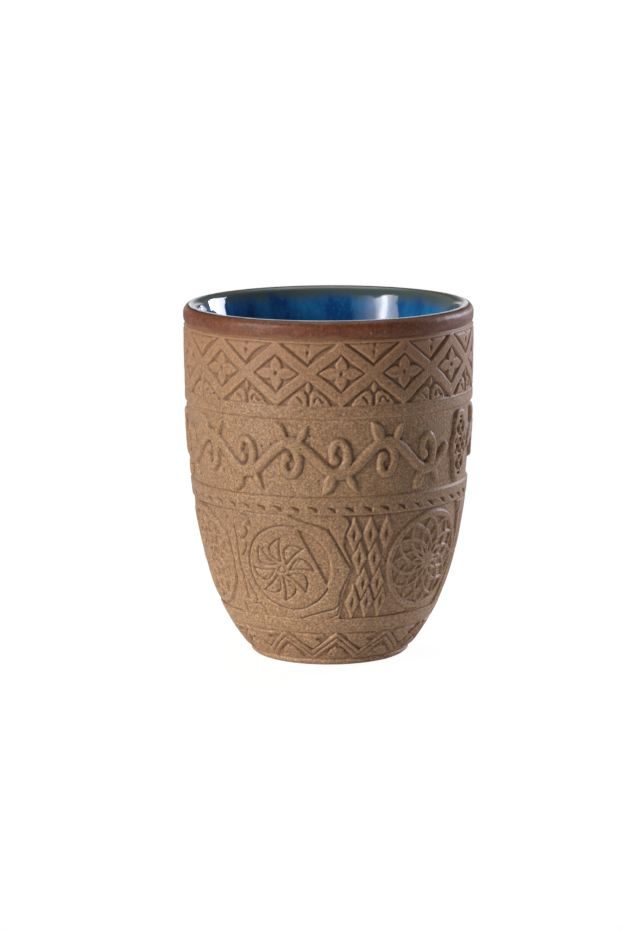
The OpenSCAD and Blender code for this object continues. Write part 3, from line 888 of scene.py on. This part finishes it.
def glaze():
    """The coat of glaze on the inner wall and over the lip's crest."""
    lining = beside(INNER_WALL, GLAZE_T)
    lining = [p for p in lining[::3] if p[0] > 0.4]
    lip = arc(LIP_MID, LIP_R, GLAZE_EDGE, 180 - LIP_SLOPE, 28)
    seat = arc(LIP_MID, CLAY_LIP_R, 180 - LIP_SLOPE, GLAZE_EDGE, 14)
    under = [tuple(p) for p in INNER_WALL[::4]] + list(seat[1:])
    clay_floor = [(0, FLOOR_H), (2, FLOOR_H), (4, FLOOR_H)]
    top_floor = [(4.2, FLOOR_H + GLAZE_T), (2.2, FLOOR_H + GLAZE_T), (0, FLOOR_H + GLAZE_T)]
    profile = clay_floor + under + list(lip) + lining[::-1][1:] + top_floor

    def push(turn, radius, level):
        inwards = smooth((level - FLOOR_H - 1) / 8) * smooth((GLAZE_WAVES_TOP - level) / 1.5)
        waves = unevenness(turn, level / 2.4, 41, 0.03) + unevenness(turn, level, 43, 0.012)
        return inwards * waves - INSET
    return revolved("glaze_lining", profile, 540, push)


# Materials. Their places and sizes are in metres, and a range of height runs from where a colour
# starts to where it is full.


def node(tree, kind, inputs=None, **settings):
    made = tree.nodes.new("ShaderNode" + kind)
    for key, value in settings.items():
        setattr(made, key, value)
    for key, value in (inputs or {}).items():
        if isinstance(value, bpy.types.NodeSocket):
            tree.links.new(value, made.inputs[key])
        else:
            made.inputs[key].default_value = value
    return made


def blank(name):
    material = bpy.data.materials.new(name)
    material.use_nodes = True
    material.node_tree.nodes.clear()
    return material, material.node_tree


def place(tree):
    return node(tree, "TexCoord").outputs["Object"]


def noise(tree, scale, detail=3.0, roughness=0.55, vector=None, distortion=0.0):
    inputs = {"Scale": scale, "Detail": detail, "Roughness": roughness, "Distortion": distortion}
    inputs["Vector"] = vector or place(tree)
    return node(tree, "TexNoise", inputs).outputs["Fac"]


def ranged(tree, value, low, high, to_low=0.0, to_high=1.0, kind="LINEAR"):
    inputs = {"Value": value, "From Min": low, "From Max": high, "To Min": to_low, "To Max": to_high}
    return node(tree, "MapRange", inputs, interpolation_type=kind).outputs["Result"]


def maths(tree, operation, a, b=0.0):
    return node(tree, "Math", {0: a, 1: b}, operation=operation).outputs[0]


def mixed(tree, share, a, b, blend="MIX"):
    colours = {k: (*c, 1) if isinstance(c, tuple) else c for k, c in ((6, a), (7, b))}
    return node(tree, "Mix", {0: share, **colours}, data_type="RGBA", blend_type=blend).outputs[2]


def ragged(tree, height, patches):
    """The height shifted in patches by up to 2 mm either way, for a colour that ends in a ragged line."""
    shift = maths(tree, "SUBTRACT", patches, 0.5)
    return maths(tree, "ADD", height, maths(tree, "MULTIPLY", shift, 0.004))


def finish_material(tree, shader):
    node(tree, "OutputMaterial", {"Surface": shader.outputs[0]})


def specks(tree, scale, radius, share, seed_shift):
    """Round specks in some of the cells of a scale, 1 in a speck and 0 beside it."""
    shift = (seed_shift, 2 * seed_shift, 0)
    moved = node(tree, "VectorMath", {0: place(tree), 1: shift}, operation="ADD")
    cells = node(tree, "TexVoronoi", {"Vector": moved.outputs[0], "Scale": scale}, feature="F1")
    lot = node(tree, "SeparateColor", {0: cells.outputs["Color"]}).outputs[0]
    chosen = ranged(tree, lot, 1 - share, 1 - share + 0.01)
    spot = ranged(tree, cells.outputs["Distance"], radius, 0.6 * radius)
    return maths(tree, "MULTIPLY", chosen, spot)


CLAY = (0.415, 0.234, 0.119)
CLAY_DARK = (0.2, 0.105, 0.055)
CLAY_PALE = (0.70, 0.42, 0.22)
CLAY_RED = (0.40, 0.175, 0.085)
CLAY_GRIT = (0.05, 0.025, 0.018)
CLAY_QUARTZ = (0.75, 0.6, 0.45)
# painted shade for grooves, pits and recesses
CLAY_PAINTED_SHADE = (0.13, 0.06, 0.032)
# paler clay and painted bounce light towards the foot
PALE_AND_BOUNCE_LIGHT_TINT = (1.3, 1.36, 1.45)
FOOT_PALE_AND_BOUNCE_LIGHT_TINT = (1.1, 1.15, 1.22)
RED_HEIGHT = (0.052, 0.070)
PALE_HEIGHT = (0.034, 0.008)
FOOT_HEIGHT = (0.0016, 0.0009)


def clay_material():
    material, tree = blank("sandy_clay")
    height = node(tree, "SeparateXYZ", {0: place(tree)}).outputs[2]
    grain = noise(tree, 1800, 2.0, 0.6)
    fine = noise(tree, 3100, 1.0, 0.5)
    mottle = noise(tree, 700, 4.0, 0.6)
    patch = noise(tree, 75)
    colour = mixed(tree, ranged(tree, mottle, 0.3, 0.7), CLAY, tuple(0.88 * c for c in CLAY))
    colour = mixed(tree, ranged(tree, grain, 0.53, 0.68, 0, 0.65), colour, CLAY_PALE)
    colour = mixed(tree, ranged(tree, grain, 0.47, 0.33, 0, 0.65), colour, CLAY_DARK)
    colour = mixed(tree, ranged(tree, fine, 0.54, 0.72, 0, 0.7), colour, CLAY_PALE)
    colour = mixed(tree, ranged(tree, fine, 0.46, 0.28, 0, 0.75), colour, CLAY_DARK)
    near_rim = ranged(tree, height, *RED_HEIGHT, 0.0, 0.75, "SMOOTHSTEP")
    redness = maths(tree, "MULTIPLY", near_rim, ranged(tree, patch, 0.3, 0.7, 0.35, 1.0))
    colour = mixed(tree, redness, colour, CLAY_RED)
    # paler towards the foot: partly the clay's own paler tone, partly painted light that stands in for the
    # floor's bounce
    paler_and_bounce_lit = ranged(tree, height, *PALE_HEIGHT, 0.0, 1.0, "SMOOTHSTEP")
    colour = mixed(tree, paler_and_bounce_lit, colour, PALE_AND_BOUNCE_LIGHT_TINT, "MULTIPLY")
    foot = ranged(tree, height, *FOOT_HEIGHT, 0.0, 1.0, "SMOOTHSTEP")
    colour = mixed(tree, foot, colour, FOOT_PALE_AND_BOUNCE_LIGHT_TINT, "MULTIPLY")
    dark = specks(tree, 520, 0.16, 0.1, 0.3)
    colour = mixed(tree, maths(tree, "MULTIPLY", dark, 0.9), colour, CLAY_GRIT)
    pale = specks(tree, 900, 0.12, 0.1, 1.7)
    colour = mixed(tree, maths(tree, "MULTIPLY", pale, 0.5), colour, CLAY_QUARTZ)
    # painted shade: the clay's colour darkens in grooves, pits and recesses, where shade falls
    hollow = node(tree, "Attribute", attribute_name="hollow").outputs["Fac"]
    shade = ranged(tree, hollow, -0.05, -0.25, 0.0, 0.8)
    colour = mixed(tree, shade, colour, CLAY_PAINTED_SHADE)
    # paler on ridges that stand above their surroundings
    paler_on_ridges = ranged(tree, hollow, 0.03, 0.16, 0.0, 0.2)
    colour = mixed(tree, paler_on_ridges, colour, CLAY_PALE)
    rough = maths(tree, "ADD", maths(tree, "MULTIPLY", grain, 0.6), maths(tree, "MULTIPLY", fine, 0.3))
    rough = maths(tree, "SUBTRACT", rough, maths(tree, "MULTIPLY", dark, 0.5))
    bump = node(tree, "Bump", {"Height": rough, "Strength": 0.55, "Distance": 0.00016})
    shader = node(tree, "BsdfPrincipled", {
        "Base Color": colour, "Normal": bump.outputs[0],
        "Roughness": ranged(tree, grain, 0.3, 0.7, 0.44, 0.56),
        "Sheen Weight": 0.14, "Sheen Roughness": 0.4, "Sheen Tint": (0.9, 0.94, 1, 1),
    })
    finish_material(tree, shader)
    return material


SLIP = (0.22, 0.064, 0.022)
SLIP_DEEP = (0.15, 0.04, 0.014)
SLIP_RED = (0.27, 0.085, 0.032)
SLIP_DARK = (0.08, 0.022, 0.01)
SLIP_PALE = (0.42, 0.18, 0.08)
SLIP_THIN = (0.34, 0.17, 0.09)
# painted shadow under the glaze's edge
SLIP_EDGE_SHADOW = (0.04, 0.015, 0.01)
SLIP_QUARTZ = (0.7, 0.45, 0.32)
THIN_HEIGHT = (0.0704, 0.0692)
EDGE_SHADOW_HEIGHT = (0.07275, 0.073)


def rim_material():
    material, tree = blank("iron_red_slip")
    height = node(tree, "SeparateXYZ", {0: place(tree)}).outputs[2]
    grain = noise(tree, 1900, 2.5, 0.6)
    mottle = noise(tree, 500, 4.0, 0.6)
    patch = noise(tree, 90)
    colour = mixed(tree, ranged(tree, mottle, 0.3, 0.7), SLIP, SLIP_DEEP)
    colour = mixed(tree, ranged(tree, patch, 0.4, 0.7, 0, 0.5), colour, SLIP_RED)
    colour = mixed(tree, ranged(tree, grain, 0.46, 0.3, 0, 0.75), colour, SLIP_DARK)
    colour = mixed(tree, ranged(tree, grain, 0.55, 0.7, 0, 0.55), colour, SLIP_PALE)
    lower = ranged(tree, ragged(tree, height, patch), *THIN_HEIGHT, 0, 0.7, "SMOOTHSTEP")
    colour = mixed(tree, lower, colour, SLIP_THIN)
    # painted shadow: a thin dark line on the slip just under the glaze's edge
    glaze_edge_shadow = ranged(tree, height, *EDGE_SHADOW_HEIGHT, 0, 0.9)
    colour = mixed(tree, glaze_edge_shadow, colour, SLIP_EDGE_SHADOW)
    pale = specks(tree, 700, 0.13, 0.09, 0.9)
    colour = mixed(tree, maths(tree, "MULTIPLY", pale, 0.8), colour, SLIP_QUARTZ)
    bump = node(tree, "Bump", {"Height": grain, "Strength": 0.6, "Distance": 0.00014})
    shader = node(tree, "BsdfPrincipled", {
        "Base Color": colour, "Normal": bump.outputs[0],
        "Roughness": ranged(tree, mottle, 0.3, 0.7, 0.38, 0.5),
    })
    finish_material(tree, shader)
    return material


GLAZE_DEEP = (0.004, 0.08, 0.29)
GLAZE_BRIGHT = (0.022, 0.27, 0.62)
GLAZE_SPECK = (0.06, 0.36, 0.62)
GLAZE_OLIVE = (0.1, 0.125, 0.095)
GLAZE_BROWN = (0.15, 0.12, 0.08)
# the glaze's pale break and painted highlight on the lip's crest
GLAZE_PALE_BREAK_AND_HIGHLIGHT = (0.88, 0.92, 0.94)
OLIVE_HEIGHT = (0.0695, 0.0722)
BROWN_HEIGHT = (0.0724, 0.0734)
SATIN_HEIGHT = (0.0722, 0.073)

# The lip's crest is painted pale beyond these distances from the axis, partly the glaze's own pale break
# and partly painted highlight. Along the front of the lip a painted highlight reaches further in.
PALE_BREAK_AND_HIGHLIGHT_REACH = (0.02855, 0.0287)
FRONT_HIGHLIGHT_REACH = (0.0276, 0.0283)


def glaze_material():
    material, tree = blank("reactive_blue_glaze")
    where = place(tree)
    _, behind, height = node(tree, "SeparateXYZ", {0: where}).outputs
    stretched = node(tree, "Mapping", {"Vector": where, "Scale": (1, 1, 0.35)}).outputs[0]
    flow = noise(tree, 150, 4.0, 0.6, stretched, 0.6)
    speckle = noise(tree, 1400, 3.0, 0.6)
    colour = mixed(tree, ranged(tree, flow, 0.35, 0.68), GLAZE_DEEP, GLAZE_BRIGHT)
    colour = mixed(tree, ranged(tree, speckle, 0.55, 0.8, 0, 0.5), colour, GLAZE_SPECK)
    broken = ragged(tree, height, flow)
    colour = mixed(tree, ranged(tree, broken, *OLIVE_HEIGHT, 0, 0.92, "SMOOTHSTEP"), colour, GLAZE_OLIVE)
    colour = mixed(tree, ranged(tree, broken, *BROWN_HEIGHT, 0, 0.5, "SMOOTHSTEP"), colour, GLAZE_BROWN)
    # painted highlight: a pale line along the lip's crest, and along the front half it reaches further in
    flat = node(tree, "VectorMath", {0: where, 1: (1, 1, 0)}, operation="MULTIPLY").outputs[0]
    reach = node(tree, "VectorMath", {0: flat}, operation="LENGTH").outputs["Value"]
    in_front = ranged(tree, behind, 0.012, 0.0)
    front_highlight = maths(tree, "MULTIPLY", ranged(tree, reach, *FRONT_HIGHLIGHT_REACH), in_front)
    pale_break_and_highlight = maths(tree, "MAXIMUM", front_highlight, ranged(tree, reach, *PALE_BREAK_AND_HIGHLIGHT_REACH))
    colour = mixed(tree, maths(tree, "MULTIPLY", pale_break_and_highlight, 0.9), colour, GLAZE_PALE_BREAK_AND_HIGHLIGHT)
    bump = node(tree, "Bump", {"Height": flow, "Strength": 0.05, "Distance": 0.0006})
    shader = node(tree, "BsdfPrincipled", {
        "Base Color": colour, "Normal": bump.outputs[0],
        "Roughness": ranged(tree, height, *SATIN_HEIGHT, 0.05, 0.25), "IOR": 1.55,
    })
    finish_material(tree, shader)
    return material


# Stage: floor, world, lamps and camera, in metres

FLOOR_HALF = 3.0
FLOOR_FADE = (0.03, 0.09)
LAMP_DISTANCE = 0.8

# Brightness of the left soft box at places across it
LEFT_FADE = [
    (0, 0.2), (0.12, 0.28), (0.22, 0.5), (0.28, 0.95), (0.34, 1),
    (0.4, 0.6), (0.48, 0.16), (0.64, 0.05), (1, 0),
]


def floor():
    """A white floor that fades into the background and keeps the cup's soft shadow."""
    material, tree = blank("white_floor")
    path = node(tree, "LightPath")
    away = node(tree, "VectorMath", {0: place(tree)}, operation="LENGTH").outputs["Value"]
    seen = node(tree, "BsdfDiffuse", {"Color": (0.13, 0.13, 0.13, 1)})
    glow = node(tree, "Emission", {"Color": (1, 1, 1, 1), "Strength": 0.95})
    near = node(tree, "AddShader", {0: seen.outputs[0], 1: glow.outputs[0]})
    white = node(tree, "Emission", {"Color": (1, 1, 1, 1), "Strength": 1.0})
    share = ranged(tree, away, *FLOOR_FADE, 0, 1, "SMOOTHSTEP")
    fading = node(tree, "MixShader", {0: share, 1: near.outputs[0], 2: white.outputs[0]})
    paper = node(tree, "BsdfDiffuse", {"Color": (0.85, 0.85, 0.85, 1)})
    shown = node(tree, "MixShader", {
        0: path.outputs["Is Camera Ray"], 1: paper.outputs[0], 2: fading.outputs[0],
    })
    finish_material(tree, shown)
    corners = [(x * FLOOR_HALF, y * FLOOR_HALF, 0) for x, y in ((-1, -1), (1, -1), (1, 1), (-1, 1))]
    mesh = bpy.data.meshes.new("floor")
    mesh.from_pydata(corners, [], [(0, 1, 2, 3)])
    mesh.materials.append(material)
    sheet = bpy.data.objects.new("floor", mesh)
    bpy.context.scene.collection.objects.link(sheet)


def world():
    """White to the camera. The cup mirrors a low strip behind it, a glow at its sides and one overhead."""
    surroundings = bpy.data.worlds.new("studio")
    bpy.context.scene.world = surroundings
    surroundings.use_nodes = True
    tree = surroundings.node_tree
    tree.nodes.clear()
    path = node(tree, "LightPath")
    direction = node(tree, "TexCoord").outputs["Generated"]
    right, behind, up = node(tree, "SeparateXYZ", {0: direction}).outputs
    straight = ranged(tree, behind, 0.78, 0.94, 0.0, 1.0, "SMOOTHSTEP")
    low_light = maths(tree, "MULTIPLY", straight, ranged(tree, up, 0.22, 0.1, 0.0, 1.5, "SMOOTHSTEP"))
    sideways = ranged(tree, maths(tree, "ABSOLUTE", right), 0.3, 0.6, 0.0, 0.3, "SMOOTHSTEP")
    sideways = maths(tree, "MULTIPLY", sideways, ranged(tree, behind, 0.3, 0.65, 0.2, 1.0, "SMOOTHSTEP"))
    overhead = ranged(tree, up, 0.6, 0.9, 0.05, 0.3, "SMOOTHSTEP")
    shine = maths(tree, "MAXIMUM", maths(tree, "MAXIMUM", low_light, sideways), overhead)
    glossy = path.outputs["Is Glossy Ray"]
    mirroring = maths(tree, "MAXIMUM", glossy, path.outputs["Is Transmission Ray"])
    glow = maths(tree, "MULTIPLY", mirroring, shine)
    seen = maths(tree, "MAXIMUM", path.outputs["Is Camera Ray"], glow)
    strength = maths(tree, "MAXIMUM", seen, 0.03)
    background = node(tree, "Background", {"Color": (1, 1, 1, 1), "Strength": strength})
    node(tree, "OutputWorld", {"Surface": background.outputs[0]})


def lamp(name, turn, elevation, size, power, colour, fade=()):
    """A soft box that faces the middle of the cup. A fade gives its brightness at places across it."""
    data = bpy.data.lights.new(name, "AREA")
    data.shape = "RECTANGLE"
    data.size, data.size_y = size
    data.energy = power
    data.color = colour
    if fade:
        data.use_nodes = True
        tree = data.node_tree
        spot = node(tree, "NewGeometry").outputs["Parametric"]
        across = node(tree, "SeparateXYZ", {0: spot})
        brightness = node(tree, "ValToRGB", {0: across.outputs[0]})
        for share, _ in fade[1:-1]:
            brightness.color_ramp.elements.new(share)
        for stop, (share, level) in zip(brightness.color_ramp.elements, fade):
            stop.position = share
            stop.color = (level, level, level, 1)
        tree.links.new(brightness.outputs[0], tree.nodes["Emission"].inputs["Color"])
    light = bpy.data.objects.new(name, data)
    bpy.context.scene.collection.objects.link(light)
    around, up = math.radians(turn), math.radians(elevation)
    middle = CUP_H * MM / 2
    light.location = (
        LAMP_DISTANCE * math.cos(up) * math.sin(around),
        -LAMP_DISTANCE * math.cos(up) * math.cos(around),
        middle + LAMP_DISTANCE * math.sin(up),
    )
    light.rotation_euler = (math.pi / 2 - up, 0, around)


def lamps():
    lamp("soft_box_left", -45.2, 15, (0.72, 0.44), 18.4, (1, 0.98, 0.95), LEFT_FADE)
    lamp("soft_box_right", 124, 15, (0.37, 0.28), 3.7, (0.93, 0.94, 1.09))
    lamp("soft_box_above", 180, 75, (0.6, 0.6), 2.4, (1, 1, 1))


# The photograph's view: a long lens a little above the rim, with the cup right of the middle.
# The frame's height, the focal length and the offset are in pixels, the two angles in degrees.
FRAME_H = 931
FOCAL_LENGTH = 3800
CUP_RIGHT = 18.6
CAMERA_AT = (0, -0.778, 0.1741)
CAMERA_DOWN = 9.85
CAMERA_ROLL = 0.25
SENSOR = 36


def camera():
    data = bpy.data.cameras.new("camera")
    data.sensor_width = SENSOR
    data.lens = SENSOR * FOCAL_LENGTH / FRAME_H
    data.shift_x = -CUP_RIGHT / FRAME_H
    data.clip_start, data.clip_end = 0.05, 20
    view = bpy.data.objects.new("camera", data)
    bpy.context.scene.collection.objects.link(view)
    view.location = CAMERA_AT
    view.rotation_mode = "ZYX"
    view.rotation_euler = (math.radians(90 - CAMERA_DOWN), 0, math.radians(-CAMERA_ROLL))
    bpy.context.scene.camera = view


# Each skin's name, band, columns, rows, relief, first seed, count of pits and the nodes it replaces
SKINS = [
    ("zigzag_skin", ZIGZAG_BAND, 720, 40, zigzag_relief, 110, 14,
     ("zigzag_border", "zigzag_leaves")),
    ("base_fillet_skin", BASE_BAND, 720, 18, fillet_relief(BASE_BAND, 0.62, 0.62, 0.25), 120, 10,
     ("base_fillet",)),
    ("medallion_skin", MEDALLION_BAND, 864, 106, medallion_relief, 130, 40,
     ("rosettes", "stem_ornaments", "roundels", "star_frames", "lozenge_panels")),
    ("notched_skin", NOTCHED_BAND, 1008, 20, notched_relief, 140, 10,
     ("notched_border",)),
    ("vine_skin", VINE_BAND, 1008, 80, vine_relief, 150, 40,
     ("vine_scroll", "cartouches")),
    ("frieze_fillet_skin", FRIEZE_BAND, 1008, 13, fillet_relief(FRIEZE_BAND, 0.16, 0.92, 0.55), 160, 10,
     ("frieze_fillet",)),
    ("diamond_skin", DIAMOND_BAND, 1008, 74, diamond_relief, 170, 40,
     ("diamond_lattice", "diamond_flowers", "hanging_triangles", "palmettes")),
]


def finished(piece, material, slot, *nodes):
    piece.data.materials.append(material)
    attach(piece, "root")
    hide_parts(*nodes)


def build_cup():
    clay = clay_material()
    finished(clay_body(), clay, "clay", "clay_body")
    finished(rim(), rim_material(), "rim_slip", "rim_band")
    finished(glaze(), glaze_material(), "glaze", "interior_glaze")
    for *skin, nodes in SKINS:
        finished(band_skin(*skin), clay, "relief", *nodes)


camera()
floor()
world()
lamps()
build_cup()
bpy.context.scene.view_settings.view_transform = "Standard"
